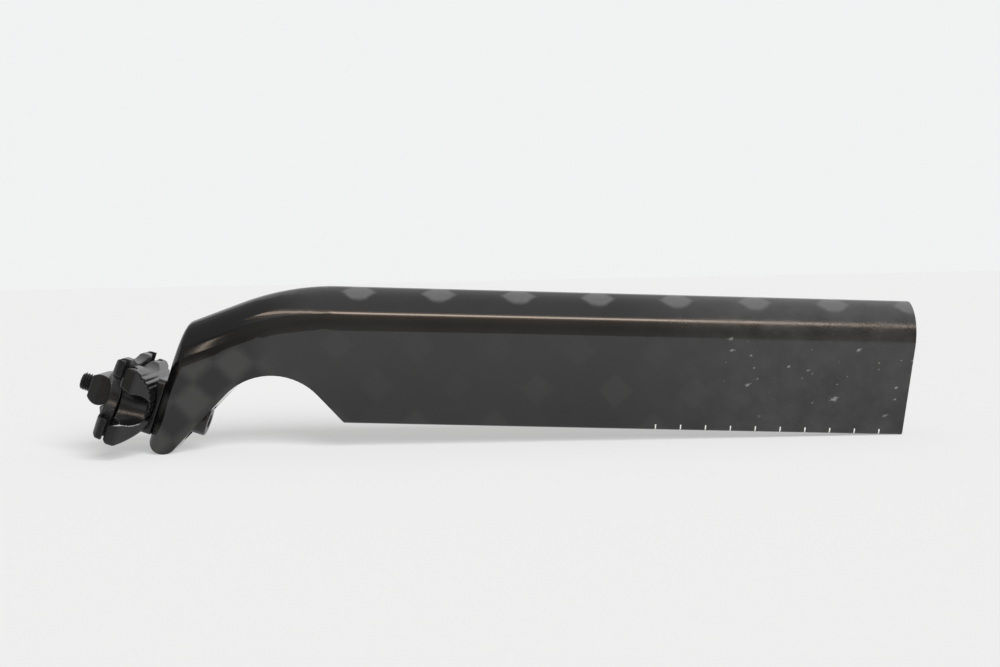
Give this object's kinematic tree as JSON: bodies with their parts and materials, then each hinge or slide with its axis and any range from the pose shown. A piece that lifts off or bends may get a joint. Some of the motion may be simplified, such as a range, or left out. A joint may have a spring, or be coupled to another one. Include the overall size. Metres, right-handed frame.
{
  "type": "bicycle seatpost",
  "caption": "Aerofoil bicycle seatpost with a bent, scalloped neck and a rocking toothed cradle clamp that grips a saddle's rails with one bolt",
  "frame": {"origin": "middle of the aerofoil section at the insertion end", "axes": "+X along the straight run, out of the insertion end; +Z to the rounded leading edge; Y across the bicycle; the head and clamp lie at negative X"},
  "size_m": [0.3273, 0.0536, 0.067],
  "materials": {
    "carbon": "clear-coated woven carbon fibre, scuffed at the insertion end",
    "seat_metal": "grey anodised aluminium",
    "clamp_metal": "forged and black anodised aluminium, satin",
    "nut_metal": "blackened steel, satin",
    "bolt_steel": "blackened steel"
  },
  "bodies": {
    "post": {"post_shell": "carbon", "cradle_seat": "seat_metal"},
    "cradle": {"lower_cradle": "clamp_metal", "bolt_washer": "bolt_steel"},
    "jaw": {"upper_clamp": "clamp_metal", "barrel_nut": "nut_metal"},
    "bolt": {"clamp_bolt": "bolt_steel"}
  },
  "joints": [
    {"name": "saddle_tilt", "type": "hinge", "parent": "post", "child": "cradle", "pos_m": [-0.31215, 0, -0.01673], "axis": [0, 1, 0], "range_deg": [-1, 5]},
    {"name": "bolt_turn", "type": "hinge", "parent": "cradle", "child": "bolt", "pos_m": [-0.2946, 0, -0.0221], "axis": [0.9563, 0, -0.2924], "range_deg": [0, 1081]},
    {"name": "clamp_slide", "type": "slide", "parent": "cradle", "child": "jaw", "axis": [-0.9563, 0, 0.2924], "range_m": [0, 0.003]}
  ],
  "couplings": [
    {"joint": "bolt_turn", "follows": "clamp_slide", "rad_per_m": 6283.2}
  ]
}
